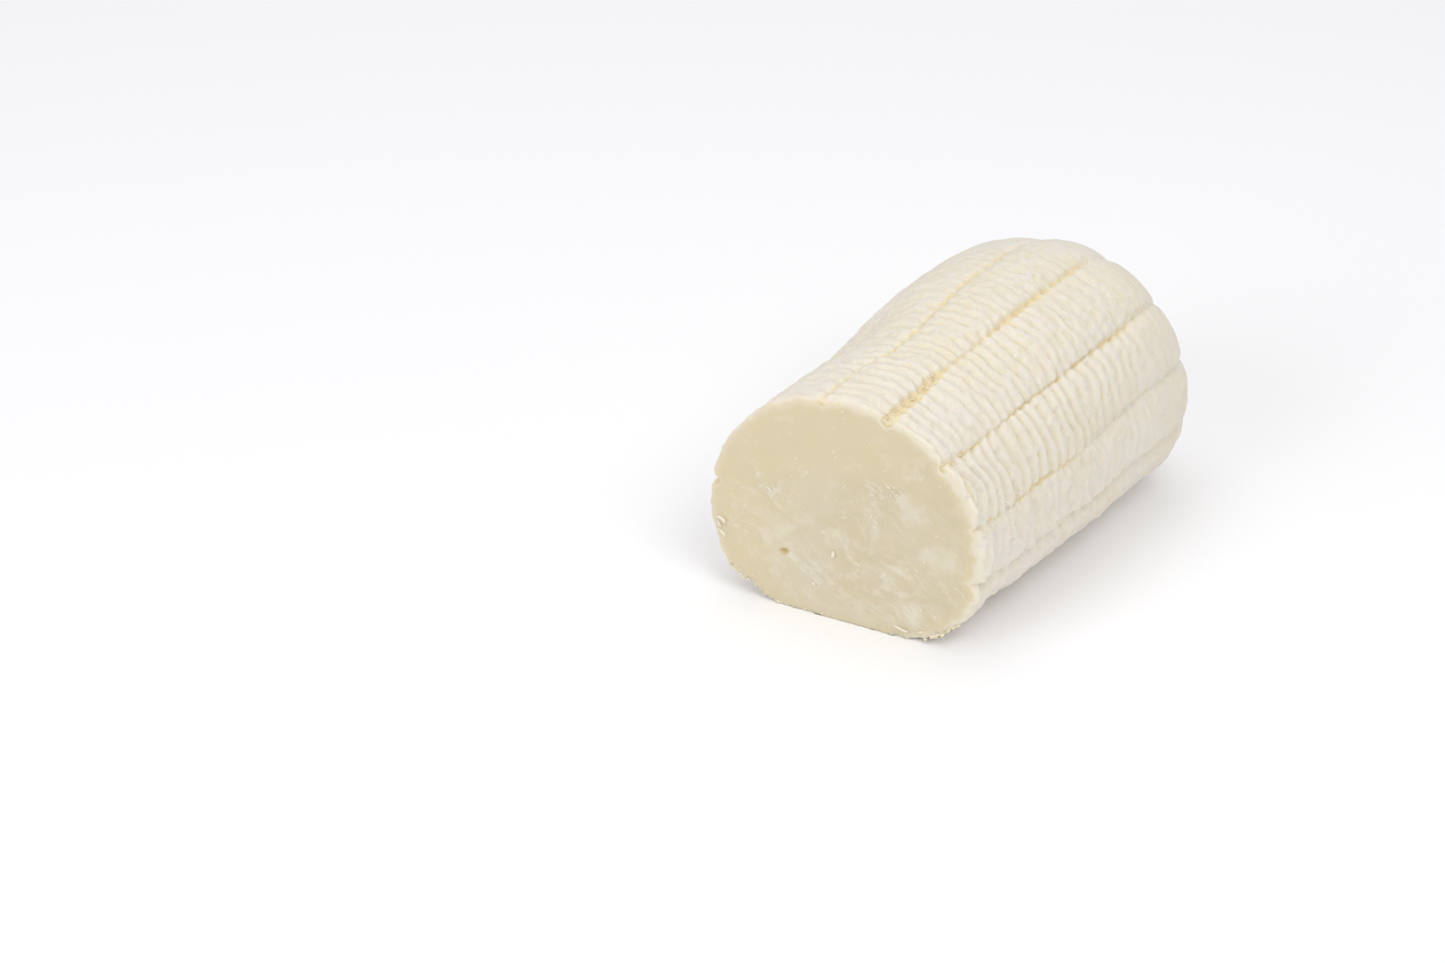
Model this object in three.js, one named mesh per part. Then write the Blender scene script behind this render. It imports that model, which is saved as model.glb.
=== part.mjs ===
// Aged ricotta log, 1:1 in millimetres. A roll of pressed and dried ricotta with one knife-cut end.
// It lies along +Y on its pressed underside, z = 0, with the cut face towards -Y.

import * as THREE from 'three';
import { mergeVertices } from 'three/addons/utils/BufferGeometryUtils.js';

// Body. Each of the first three lists holds a size at even steps from the cut face to the far end.
const LENGTH = 116; // from the middle of the cut face to the far end
const HALF_WIDTHS = [37.8, 39.2, 40.2, 40.4, 40.2, 39.2];
const RISES = [38.8, 38.9, 39.8, 41.3, 41.2, 40.7]; // from the widest line up to the top
const DRIFTS = [-0.3, -0.5, -0.5, -0.2, 0.2, 2.2]; // of the axis towards +X
const WIDEST_AT = 26.3; // height of the widest line above the table
const DROP = 28.5; // from the widest line down, before the table flattens it
// Exponents of the underside's outline, where 2 is an ellipse. Behind the cut it is rounder at the right.
const SQUARENESS = 2.35;
const SQUARENESS_RIGHT = 2.1;
const RIGHT_SETTLED_BY = 16;

// Far end, drawn in by a rounded shoulder
const SHOULDER = 24.5;
const SHOULDER_POWER = 2.5;
const FAR_DOME = 0.7;

// Knife-cut face. The knife went across the roll at a slant, which the first ribs follow.
const SLANT = 0.155; // along the roll per millimetre towards +X
const LEAN = 0.012; // along the roll per millimetre of height
const LEAN_FROM = 30;
const SLANT_FADES_BY = 60;
const FACE_DISH = 0.35; // how far the middle of the face lies behind the rim
const RIM_TUCK = 0.5; // the rim is drawn in this far, and rolls over within this far

// Torn lower rim, where the knife left the roll
const TEAR = 0.9;
const TEAR_BELOW = 12; // height at which the tears begin
const TEAR_REACH = 5; // along the skin
const TEARS = 37; // per turn

// Small hole in the cut face, as x and height
const HOLE = { x: -17.4, z: 16, depth: 2.2, reach: 1.4 };

// Lengthwise grooves from the mould, by their place round the section in degrees,
// with the depth of each at the cut and beyond the middle
const GROOVES = [
  { at: -8, near: 0.5, far: 0.5 },
  { at: 18, near: 0.6, far: 0.8 },
  { at: 45.6, near: 1.2, far: 0.7 },
  { at: 74.8, near: 2.5, far: 0.8 },
  { at: 102, near: 1.1, far: 0.5 },
  { at: 135, near: 0.5, far: 0.6 },
  { at: 171, near: 1.5, far: 0.5 },
  { at: 200, near: 0.6, far: 0.5 },
  { at: 230, near: 0.4, far: 0.3 },
  { at: 260, near: 0.2, far: 0.2 },
  { at: 289, near: 0.2, far: 0.2 },
  { at: 319, near: 0.4, far: 0.3 },
];
const GROOVE_HALF_WIDTH = 2.6; // degrees round the section
const GROOVE_WANDER = 1.1; // degrees
const WANDER_STEP = 14; // along the roll for each radian of the wander
const CROWN_NEAR = 0.5; // swell of the panels between the grooves, at the cut
const CROWN_FAR = 1.3;
const CROWN_SUNK = 0.4; // share of the swell that lies below the outline
const SETTLED_BY = 75; // past this the far sizes hold

// Crosswise ribs of the rind, deepest near the cut and nearly gone at the shoulder
const RIB_PITCH = 4.1;
const RIB_HEIGHT = 0.5;
const RIB_LEFT = 0.25; // share of the height that is left at the end
const RIBS_FADE_FROM = 40;
const RIBS_END = 87;
const RIB_WAVER = 0.5; // along the roll
const RIB_WAVES = 5; // per turn
const RIB_WAVER_STEP = 8;

// Waist that the mould left at the upper left, the swell behind it and the sunken top of the far
// end. Each has its depth, its place along the roll, how far it spreads there, and the same in
// degrees round the roll.
const DENTS = [
  { depth: 2.9, along: 41, spread: 17, at: 130, turn: 24 },
  { depth: -1.1, along: 86, spread: 18, at: 137, turn: 20 },
  { depth: 1.0, along: 98, spread: 16, at: 110, turn: 20 },
];

// Slow unevenness of the whole skin
const LUMP = 0.35;
const LUMP_STEP = 11;
const LUMPS = 3; // per turn

// Mesh density
const PER_PANEL = 5;
const AROUND = GROOVES.length * PER_PANEL;
const RINGS_A_RIB = 3; // two on the crest and one in the valley
const FACE_RINGS_IN = 2; // inside the hole's ring
const FACE_RINGS_OUT = 3; // outside it, rim included
const SHOULDER_RINGS = 12;
const FAR_RINGS = 3;

const { clamp, degToRad, lerp, radToDeg, smoothstep } = THREE.MathUtils;
const TURN = 2 * Math.PI;

// A size at a place along the roll, smooth between the values of its list.
function spline(values) {
  const curve = new THREE.SplineCurve(values.map((value, i) => new THREE.Vector2(i, value)));
  return (along) => curve.getPoint(clamp(along / LENGTH, 0, 1)).y;
}
const halfWidth = spline(HALF_WIDTHS);
const rise = spline(RISES);
const drift = spline(DRIFTS);

// Outline of the roll at a place along it: half an ellipse over a squarer underside.
// The inset draws it in all round. Height is measured from the widest line.
function outline(along, angle, inset) {
  const c = Math.cos(angle);
  const s = Math.sin(angle);
  const rounder = c > 0 ? smoothstep(along, 0, RIGHT_SETTLED_BY) : 0;
  const power = s < 0 ? 2 / lerp(SQUARENESS, SQUARENESS_RIGHT, rounder) : 1;
  const reach = s < 0 ? DROP : rise(along);
  return new THREE.Vector2(
    (halfWidth(along) - inset) * Math.sign(c) * Math.abs(c) ** power,
    (reach - inset) * Math.sign(s) * Math.abs(s) ** power,
  );
}

// Direction straight out of the outline.
function outward(along, angle, inset) {
  const step = 0.02;
  const ahead = outline(along, angle + step, inset);
  const behind = outline(along, angle - step, inset);
  return new THREE.Vector2(ahead.y - behind.y, behind.x - ahead.x).normalize();
}

// Distance from the middle of the cut face to its rim, on the way through the hole.
function rimReach() {
  const way = new THREE.Vector2(HOLE.x, HOLE.z - WIDEST_AT).angle();
  const steps = 720;
  let best = outline(0, 0, RIM_TUCK);
  for (let i = 1; i < steps; i += 1) {
    const point = outline(0, (i * TURN) / steps, RIM_TUCK);
    if (Math.abs(point.angle() - way) < Math.abs(best.angle() - way)) best = point;
  }
  return best.length();
}

// Columns of vertices run along the roll. Each panel has the groove's bottom,
// the groove's shoulder, two on the crown and the shoulder of the next groove.
function columnAt(index) {
  const panel = Math.floor(index / PER_PANEL);
  const step = index % PER_PANEL;
  const from = GROOVES[panel].at;
  const span = (GROOVES[(panel + 1) % GROOVES.length].at - from + 360) % 360;
  const inner = span - 2 * GROOVE_HALF_WIDTH;
  const at = step === 0 ? 0 : GROOVE_HALF_WIDTH + (inner * (step - 1)) / (PER_PANEL - 2);
  return { panel, inGroove: step === 0, share: at / span, angle: degToRad(from + at) };
}

// Rings of vertices run from the middle of the cut face to the middle of the far end.
// Each has its place along the roll, its inset and its share of the outline.
function ringList() {
  const reach = rimReach();
  const holeAt = Math.hypot(HOLE.x, HOLE.z - WIDEST_AT) / reach;
  const inner = holeAt - HOLE.reach / reach;
  const outer = holeAt + HOLE.reach / reach;
  const shares = [0];
  for (let i = 1; i <= FACE_RINGS_IN; i += 1) shares.push((inner * i) / (FACE_RINGS_IN + 1));
  shares.push(inner, holeAt);
  for (let i = 0; i <= FACE_RINGS_OUT; i += 1) shares.push(lerp(outer, 1, i / FACE_RINGS_OUT));
  const list = shares.map((share) => ({ along: 0, inset: RIM_TUCK, share, face: true }));

  const ribRings = Math.round((RINGS_A_RIB * RIBS_END) / RIB_PITCH);
  for (let i = 0; i < ribRings; i += 1) {
    list.push({ along: RIM_TUCK + (i * RIB_PITCH) / RINGS_A_RIB, inset: 0, share: 1, rib: i });
  }
  for (let i = 0; i <= SHOULDER_RINGS; i += 1) {
    const turn = (i / SHOULDER_RINGS) * (Math.PI / 2);
    const forward = Math.sin(turn) ** (2 / SHOULDER_POWER);
    const left = Math.cos(turn) ** (2 / SHOULDER_POWER);
    list.push({ along: LENGTH - SHOULDER * (1 - forward), inset: SHOULDER * (1 - left), share: 1 });
  }
  for (let i = FAR_RINGS - 1; i >= 0; i -= 1) {
    list.push({ along: LENGTH, inset: SHOULDER, share: i / FAR_RINGS });
  }
  return list;
}

// The grooves wander a little on their way, each in its own manner, and the panels follow.
function wander(along, { panel, share }) {
  const sway = (groove) => Math.sin((TURN * groove * 5) / GROOVES.length + 1);
  const degrees = GROOVE_WANDER * Math.sin(along / WANDER_STEP) * lerp(sway(panel), sway(panel + 1), share);
  return degToRad(degrees);
}

// How far the waist and the swell draw the skin in.
function dentAt(along, degrees) {
  const bell = (distance, spread) => Math.exp(-((distance / spread) ** 2));
  return DENTS.reduce((sum, { depth, along: middle, spread, at, turn }) => (
    sum + depth * bell(along - middle, spread) * bell(degrees - at, turn)
  ), 0);
}

// How far the skin stands out at a vertex: crown of the panel, groove, ribs, dents and slow lumps.
function relief({ along, inset, rib }, { panel, inGroove, share, angle }) {
  const settled = smoothstep(along, 0, SETTLED_BY);
  const crown = lerp(CROWN_NEAR, CROWN_FAR, settled) * (Math.sin(Math.PI * share) - CROWN_SUNK);
  const groove = inGroove ? lerp(GROOVES[panel].near, GROOVES[panel].far, settled) : 0;
  const strength = lerp(1, RIB_LEFT, smoothstep(along, RIBS_FADE_FROM, RIBS_END));
  const crest = (rib + panel) % RINGS_A_RIB ? 1 / RINGS_A_RIB : 1 / RINGS_A_RIB - 1;
  const ribs = rib > 0 && !inGroove ? crest * RIB_HEIGHT * strength : 0;
  const lumps = LUMP * Math.sin(LUMPS * angle + along / LUMP_STEP) * Math.sin(angle + along / LUMP_STEP);
  const dent = dentAt(along, radToDeg(angle));
  return (crown - groove + ribs + lumps - dent) * (1 - inset / (2 * SHOULDER));
}

// How far the cut face and its rim lie back: dish, tears of the lower rim and the hole.
function cutRelief({ along, share, face }, angle, x, z) {
  const dish = face ? FACE_DISH * (1 - share ** 2) : 0;
  const low = smoothstep(TEAR_BELOW - z, 0, TEAR_BELOW);
  const near = face ? share ** TEARS : clamp(1 - along / TEAR_REACH, 0, 1);
  const tear = TEAR * low * near * (0.5 + 0.5 * Math.sin(TEARS * angle));
  const inHole = face && Math.hypot(x - HOLE.x, z - HOLE.z) < HOLE.reach;
  return dish + tear + (inHole ? HOLE.depth : 0);
}

// The vertex of the log where a ring and a column meet.
function skin(ring, column) {
  const angle = column.angle + wander(ring.along, column);
  const point = outline(ring.along, angle, ring.inset);
  point.addScaledVector(outward(ring.along, angle, ring.inset), relief(ring, column));
  point.multiplyScalar(ring.share);
  const x = point.x + drift(ring.along);
  const z = Math.max(0, WIDEST_AT + point.y);
  const cut = x * SLANT + (z - LEAN_FROM) * LEAN;
  let y = ring.along + cut * clamp(1 - ring.along / SLANT_FADES_BY, 0, 1);
  y += cutRelief(ring, column.angle, x, z);
  if (ring.rib > 0) y += RIB_WAVER * Math.sin(RIB_WAVES * column.angle + ring.along / RIB_WAVER_STEP);
  if (ring.inset === SHOULDER) y += FAR_DOME * (1 - ring.share ** 2);
  return new THREE.Vector3(x, y, z);
}

// A closed ball whose poles become the middles of the two ends.
function logGeometry() {
  const rings = ringList();
  const ball = new THREE.SphereGeometry(1, AROUND, rings.length - 1);
  ball.deleteAttribute('uv');
  ball.deleteAttribute('normal');
  const geometry = mergeVertices(ball);
  const positions = geometry.getAttribute('position');
  const at = new THREE.Vector3();
  for (let i = 0; i < positions.count; i += 1) {
    at.fromBufferAttribute(positions, i);
    const down = Math.acos(clamp(-at.y, -1, 1)) / Math.PI;
    const turn = (Math.atan2(at.z, at.x) + TURN) / TURN;
    const ring = rings[Math.round(down * (rings.length - 1))];
    const column = columnAt(Math.round(turn * AROUND) % AROUND);
    const vertex = skin(ring, column);
    positions.setXYZ(i, vertex.x, vertex.y, vertex.z);
  }
  geometry.computeBoundingBox();
  const middle = geometry.boundingBox.getCenter(new THREE.Vector3());
  geometry.translate(-middle.x, -middle.y, -geometry.boundingBox.min.z);
  geometry.computeVertexNormals();
  return geometry;
}

const rind = new THREE.MeshStandardMaterial({ color: 0xebe2d2, roughness: 0.75, metalness: 0 });
const log = new THREE.Mesh(logGeometry(), rind);
log.name = 'ricotta_log';

const group = new THREE.Group();
group.add(log);
export default group;
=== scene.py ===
# %% [markdown]
# # A cut log of aged ricotta
# Ricotta that is pressed in a basket and dried for some weeks becomes a firm ivory log.
# The basket leaves long grooves and fine crosswise ribs in its rind, and the knife
# leaves a smooth face of creamier paste. In these cells we dress the log for a
# close-up. The solid model gives the size, so we load it first and measure its box.

import math
import random
from bisect import bisect_right

import bmesh
import bpy
from mathutils import Euler, Matrix, Vector, noise
from mathutils.bvhtree import BVHTree


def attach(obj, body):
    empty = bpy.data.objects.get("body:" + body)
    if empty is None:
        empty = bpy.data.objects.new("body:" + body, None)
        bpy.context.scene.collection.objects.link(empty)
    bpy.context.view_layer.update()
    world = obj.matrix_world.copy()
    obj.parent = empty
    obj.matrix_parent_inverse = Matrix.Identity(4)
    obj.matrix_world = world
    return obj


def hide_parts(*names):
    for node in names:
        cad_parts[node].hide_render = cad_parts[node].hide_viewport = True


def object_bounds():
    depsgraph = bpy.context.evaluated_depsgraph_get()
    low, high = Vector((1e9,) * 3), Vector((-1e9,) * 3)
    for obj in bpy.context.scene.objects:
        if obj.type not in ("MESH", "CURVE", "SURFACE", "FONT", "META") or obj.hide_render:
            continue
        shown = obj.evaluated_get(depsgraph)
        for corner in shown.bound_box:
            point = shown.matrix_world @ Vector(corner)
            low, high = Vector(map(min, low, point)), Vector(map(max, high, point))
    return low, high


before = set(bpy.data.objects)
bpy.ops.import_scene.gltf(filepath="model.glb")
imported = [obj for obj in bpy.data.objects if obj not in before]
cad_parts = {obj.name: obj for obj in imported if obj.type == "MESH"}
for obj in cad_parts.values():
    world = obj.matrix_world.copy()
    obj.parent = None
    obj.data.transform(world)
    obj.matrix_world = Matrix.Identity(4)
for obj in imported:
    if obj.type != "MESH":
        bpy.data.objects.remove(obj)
SOLID_BOX = [list(corner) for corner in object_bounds()]
box_low, box_high = (Vector(corner) for corner in SOLID_BOX)
print("solid log, mm:", [round(side * 1000, 1) for side in box_high - box_low])

# %% [markdown]
# ## Camera
# We look down on the log from a little less than a metre, past its cut face and along
# its right side. A long lens keeps the log's sides nearly parallel. Two angles say from
# where the camera looks. They give its three axes, and the axes make up its turn.

# %% Set the camera
LENS, FILM_WIDTH = 90.0, 36.0
LOOK_DOWN, LOOK_ROUND = math.radians(32.0), math.radians(35.75)
CAMERA_AT = Vector((0.42408, -0.69723, 0.52244))

back = Vector((math.sin(LOOK_ROUND) * math.cos(LOOK_DOWN),
               -math.cos(LOOK_ROUND) * math.cos(LOOK_DOWN), math.sin(LOOK_DOWN)))
right = Vector((math.cos(LOOK_ROUND), math.sin(LOOK_ROUND), 0.0))
up = back.cross(right)
camera = bpy.data.objects.new("camera", bpy.data.cameras.new("camera"))
camera.data.lens = LENS
camera.data.sensor_width = FILM_WIDTH
camera.data.clip_start = 0.01
camera.matrix_world = Matrix.Translation(CAMERA_AT) @ Matrix((right, up, back)).transposed().to_4x4()
bpy.context.scene.collection.objects.link(camera)
bpy.context.scene.camera = camera
print("camera height, mm:", round(CAMERA_AT.z * 1000))

# %% [markdown]
# ## Table
# The log lies on a plain white table that reaches far past the picture. It is laid a
# hair below zero, so that it never shares a plane with the underside of the log. Three
# helpers come first: for pieces, for colours and for plain materials.

# %% Lay the table
def new_piece(name, bm):
    """Turns a finished bmesh into an object of the scene."""
    mesh = bpy.data.meshes.new(name)
    bm.to_mesh(mesh)
    bm.free()
    piece = bpy.data.objects.new(name, mesh)
    bpy.context.scene.collection.objects.link(piece)
    return piece


def ink(red, green, blue):
    """A colour as read off a screen, 0 to 255, made linear for the shaders."""
    shares = (value / 255 for value in (red, green, blue))
    return tuple(s / 12.92 if s < 0.04045 else ((s + 0.055) / 1.055) ** 2.4 for s in shares) + (1.0,)


def plain_material(name, colour, roughness, shine):
    """A material with one colour all over."""
    material = bpy.data.materials.new(name)
    material.use_nodes = True
    inputs = material.node_tree.nodes["Principled BSDF"].inputs
    inputs["Base Color"].default_value = colour
    inputs["Roughness"].default_value = roughness
    inputs["Specular IOR Level"].default_value = shine
    return material


TABLE_COLOUR = ink(252, 252, 254)
TABLE_HALF, TABLE_GAP = 6.0, 0.00005
bm = bmesh.new()
bmesh.ops.create_grid(bm, x_segments=1, y_segments=1, size=TABLE_HALF)
bmesh.ops.translate(bm, verts=bm.verts, vec=(0, 0, -TABLE_GAP))
table = new_piece("table", bm)
table.data.materials.append(plain_material("table paint", TABLE_COLOUR, 0.9, 0.1))
print("table:", 2 * TABLE_HALF, "m wide")

# %% [markdown]
# ## Light
# Pale food on a white table needs soft light from nearly everywhere, or its shadows
# turn hard and its whites burn out. The sky does half of the work. Three large lamps
# do the rest, from overhead, the front and the right, so each side of the log keeps
# its own brightness and the only dark shadow is the one right under its belly.

# %% Light the sky and hang the lamps
SKY_STRENGTH = 0.5
LAMPS_AIM_AT = Vector((0, 0, 0.03))

sky = bpy.data.worlds.new("studio")
sky.use_nodes = True
sky.node_tree.nodes["Background"].inputs["Color"].default_value = (1.0, 1.0, 1.0, 1.0)
sky.node_tree.nodes["Background"].inputs["Strength"].default_value = SKY_STRENGTH
bpy.context.scene.world = sky
bpy.context.scene.view_settings.view_transform = "Standard"


def hang_lamp(name, place, size, power):
    """A square soft lamp that shines at the middle of the log."""
    lamp = bpy.data.lights.new(name, "AREA")
    lamp.size, lamp.energy = size, power
    holder = bpy.data.objects.new(name, lamp)
    aim = LAMPS_AIM_AT - Vector(place)
    holder.matrix_world = Matrix.Translation(place) @ aim.to_track_quat("-Z", "Y").to_matrix().to_4x4()
    bpy.context.scene.collection.objects.link(holder)
    print(name, "at", place, "with", power, "W")


hang_lamp("overhead lamp", (-0.25, 0.15, 1.3), 1.2, 4.9)
hang_lamp("front lamp", (-0.35, -1.25, 0.75), 0.8, 5.0)
hang_lamp("right lamp", (0.7, -0.35, 1.0), 0.7, 4.9)

# %% [markdown]
# ## The plain shape
# The log is not a cylinder. It leans on a flattened underside, swells towards its far
# end and is drawn in there by a rounded shoulder. These are the sizes of the solid
# model, in millimetres, so the dressed log fills the same space. A smooth curve runs
# through each list of sizes.

# %% Sizes of the log
MM = 0.001
LENGTH = 116
HALF_WIDTHS = [37.8, 39.2, 40.2, 40.4, 40.2, 39.2]
RISES = [38.8, 38.9, 39.8, 41.3, 41.2, 40.7]
DRIFTS = [-0.3, -0.5, -0.5, -0.2, 0.2, 2.2]
WIDEST_AT, DROP = 26.3, 28.5
SQUARENESS, SQUARENESS_RIGHT, RIGHT_SETTLED_BY = 2.35, 2.1, 16
# depth, place along the log and spread there, place round it in degrees and spread there
DENTS = [(2.9, 41, 17, 130, 24), (-1.1, 86, 18, 137, 20), (1.0, 98, 16, 110, 20)]
SHOULDER, SHOULDER_POWER, FAR_DOME = 24.5, 2.5, 0.7
SLANT, LEAN, LEAN_FROM, SLANT_FADES_BY = 0.155, 0.012, 30, 60
FACE_DISH, RIM_TUCK, RIM_TUCK_BELOW = 0.35, 1.1, 0.1   # underneath, the rim is tucked in a tenth as much
SHIFT = Vector((0.25, box_high.y / MM - LENGTH - FAR_DOME, 0))
print("shift of the log onto the solid, mm:", [round(value, 2) for value in SHIFT])

# %% Curves through the sizes
def mix(a, b, share):
    """A value between two others."""
    return a + (b - a) * share


def smooth(share):
    """Eases a share in at 0 and out at 1."""
    share = min(1.0, max(0.0, share))
    return share * share * (3 - 2 * share)


def uneven(x, y, z):
    """Smooth noise between about -1 and 1, the same in every run."""
    return noise.noise(Vector((x, y, z)))


def along_list(sizes, along):
    """A size at a place along the log, on a smooth curve through its list."""
    place = min(1.0, max(0.0, along / LENGTH)) * (len(sizes) - 1)
    i = min(int(place), len(sizes) - 2)
    t = place - i
    before, a, b = sizes[max(i - 1, 0)], sizes[i], sizes[i + 1]
    after = sizes[min(i + 2, len(sizes) - 1)]
    rise_a, rise_b = (b - before) / 2, (after - a) / 2
    return ((2 * a - 2 * b + rise_a + rise_b) * t ** 3
            + (3 * b - 3 * a - 2 * rise_a - rise_b) * t ** 2 + rise_a * t + a)


print("half width in the middle, mm:", round(along_list(HALF_WIDTHS, LENGTH / 2), 2))

# %% Outline of the log
def outline(ring, angle):
    """Point of a ring's outline: half an ellipse over a squarer underside."""
    c, s = math.cos(angle), math.sin(angle)
    rounder = smooth(ring["along"] / RIGHT_SETTLED_BY) if c > 0 else 0
    power = 2 / mix(SQUARENESS, SQUARENESS_RIGHT, rounder) if s < 0 else 1
    reach = DROP if s < 0 else ring["rise"]
    tuck = ring["inset"] * (RIM_TUCK_BELOW if s < 0 and ring["along"] < 1 else 1)
    x = (ring["half"] - ring["inset"]) * math.copysign(abs(c) ** power, c)
    z = (reach - tuck) * math.copysign(abs(s) ** power, s)
    return x, z


def outward(ring, angle):
    """Direction straight out of the outline."""
    ahead, behind = outline(ring, angle + 0.02), outline(ring, angle - 0.02)
    way = Vector((ahead[1] - behind[1], behind[0] - ahead[0]))
    return way.normalized()


def dent_at(along, degrees):
    """How far the waist and the other dents draw the skin in."""
    return sum(depth * math.exp(-((along - middle) / spread) ** 2 - ((degrees - at) / turn) ** 2)
               for depth, middle, spread, at, turn in DENTS)


print("deepest dent, mm:", max(dent[0] for dent in DENTS))

# %% [markdown]
# ## Grooves and panels
# Twelve long grooves part the rind into panels. The deep one right of the top is where
# two parts of the basket met: it is a broad channel at the cut, pinches shut, and opens
# again further back. So each groove gets a few stations along the log, and between them
# its place, depth and width change smoothly.

# %% Grooves round the log
# stations: along the log in mm, place in degrees, depth and half width in mm
GROOVES = [
    [(0, -8.5, 2.2, 2.3), (25, -8.5, 2.0, 2.4), (60, -7.0, 2.0, 2.8), (90, -6.5, 1.6, 2.8)],
    [(0, 17.2, 0.9, 1.2), (14, 17.2, 0.5, 0.9), (24, 17.8, 1.2, 1.0), (33, 18.4, 1.3, 0.9),
     (46, 17.8, 0.7, 0.9), (62, 18.4, 0.35, 1.6), (80, 20.0, 0.7, 1.5), (100, 19.5, 0.8, 1.6)],
    [(0, 45.5, 1.3, 1.7), (6, 45.3, 0.9, 1.5), (13, 44.9, 1.1, 0.9), (22, 45.6, 0.9, 0.7),
     (40, 46.3, 1.2, 0.6), (60, 45.6, 1.3, 0.7), (72, 45.5, 1.2, 0.7), (84, 45.1, 1.2, 1.3),
     (95, 46.2, 0.8, 1.5), (110, 46.5, 0.6, 1.6)],
    [(0, 73.3, 2.4, 2.2), (12, 74.1, 2.2, 2.0), (24, 75.3, 1.9, 1.7), (31, 75.6, 1.3, 1.1),
     (38, 75.5, 0.8, 0.6), (50, 75.5, 1.2, 0.8), (61, 75.2, 1.7, 1.4), (70, 75.2, 1.7, 1.3),
     (82, 75.2, 1.4, 1.1), (92, 75.0, 1.1, 1.4), (100, 75.0, 0.3, 1.8)],
    [(0, 101.8, 1.3, 1.4), (8, 101.7, 1.1, 1.0), (20, 102.3, 1.0, 0.8), (30, 99.2, 1.1, 0.9),
     (41, 99.6, 1.5, 1.2), (52, 101.3, 1.0, 1.0), (66, 103.0, 1.3, 1.2), (80, 102.3, 1.2, 1.2),
     (92, 104.6, 0.8, 1.4)],
    [(0, 135, 0.5, 1.0), (60, 135, 0.6, 1.2)],
    [(0, 171, 1.7, 1.5), (12, 171, 0.8, 1.4), (60, 171, 0.5, 1.6)],
    [(0, 200, 0.6, 1.2), (60, 200, 0.5, 1.4)],
    [(0, 230, 0.4, 1.4), (60, 230, 0.3, 1.6)],
    [(0, 260, 0.2, 1.4)],
    [(0, 289, 0.2, 1.4)],
    [(0, 319, 0.4, 1.6), (60, 319, 0.3, 2.2)],
]
LOW_GROOVE, CREASE_GROOVE, CHANNEL_GROOVE = GROOVES[1:4]   # the three that face the camera
MM_PER_DEGREE = 0.66


def station(stations, along):
    """Place, depth and half width of a groove at a place along the log."""
    i = bisect_right([s[0] for s in stations], along)
    if i == 0 or i == len(stations):
        return stations[min(i, len(stations) - 1)][1:]
    a, b = stations[i - 1], stations[i]
    share = smooth((along - a[0]) / (b[0] - a[0]))
    return tuple(mix(p, q, share) for p, q in zip(a[1:], b[1:]))


print(len(GROOVES), "grooves, the deepest", max(s[2] for g in GROOVES for s in g), "mm")

# %% [markdown]
# ## Cutting a groove
# A narrow groove is a crease in soft curd: it wanders in width and breaks into dashes.
# A wide one is a channel with a rounder bed, and keeps its shape better. Where a groove
# is deep for its width, it is coloured yellow, so we also return a tint.
# The first groove is a soft fold instead, and stays white.

# %% Depth of a groove
CREASE_HALF, CHANNEL_HALF = 1.1, 1.9   # up to this half width it is a crease, and from that one a channel
GROOVE_SHARE, TINT = 0.75, 2.5


def groove_cut(groove, row, along, away, valley):
    """Depth of a groove at a distance from its line in mm, and how yellow it is."""
    _, depth, half = groove
    channel = smooth((half - CREASE_HALF) / (CHANNEL_HALF - CREASE_HALF))
    wander = uneven(along / 1.7, 5.3 * row, 0)
    reach = 1.2 * half * (mix(0.85, 0.75, channel) + 0.2 * valley + mix(0.6, 0.3, channel) * wander)
    if away >= reach:
        return 0.0, 0.0
    dashes = uneven(along / 2.6, 5.3 * row, 4)
    kept = mix(0.45, 0.6, channel) + 0.15 * valley + mix(0.75, 0.3, channel) * dashes
    bed = (1 - (away / reach) ** 2) ** mix(1.8, 1.0, channel)
    cut = GROOVE_SHARE * depth * max(0.0, kept) * bed
    tint = smooth(1.6 * depth / half - 0.5) if row else 0.0
    return cut, TINT * tint * cut * bed


print("a groove is a channel from", 2 * CHANNEL_HALF, "mm wide")

# %% [markdown]
# ## Ribs
# Real ribs bend, merge and break off, so a plain wave would look machined. We count
# ribs along the log, and let slow noise bend the count. Each panel has its own pitch
# and strength. A cosine makes round backs and valleys, and a second noise fills some
# valleys in, which merges two ribs and leaves the rest of the valley as a short pit.
# Half-size ribs run between the large ones, most of all on the upper panels.

# %% Ribs and pits
# in the panel after each groove: pitch of the ribs in mm, their strength near the cut and
# far from it, the strength of the fine ribs, and how lumpy the curd is
PANELS = [
    (4.0, 0.5, 0.35, 0.4, 3.8),
    (4.2, 1.1, 0.6, 0.3, 1.1),
    (3.9, 0.75, 0.42, 0.9, 1.1),
    (3.7, 0.65, 0.3, 1.1, 1.2),
    (4.0, 0.6, 0.2, 0.8, 1.2),
    (4.2, 0.5, 0.15, 0.5, 1.2),
    (4.1, 0.6, 0.2, 0.5, 1.2),
    (4.1, 0.5, 0.2, 0.5, 1.6),
    (4.1, 0.25, 0.1, 0.4, 1.6),
    (4.1, 0.2, 0.1, 0.4, 1.6),
    (4.1, 0.3, 0.1, 0.4, 1.6),
    (4.1, 0.35, 0.2, 0.4, 3.0),
]
RIB_DEPTH, FINE_DEPTH, PIT_DEPTH = 0.95, 0.26, 0.35
RIBS_FADE_FROM, RIBS_END = 35, 90
RIB_SLANT, FINE_RIBS_PER_RIB = 0.55, 1.93   # the slant is in ribs, from one groove to the next


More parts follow.
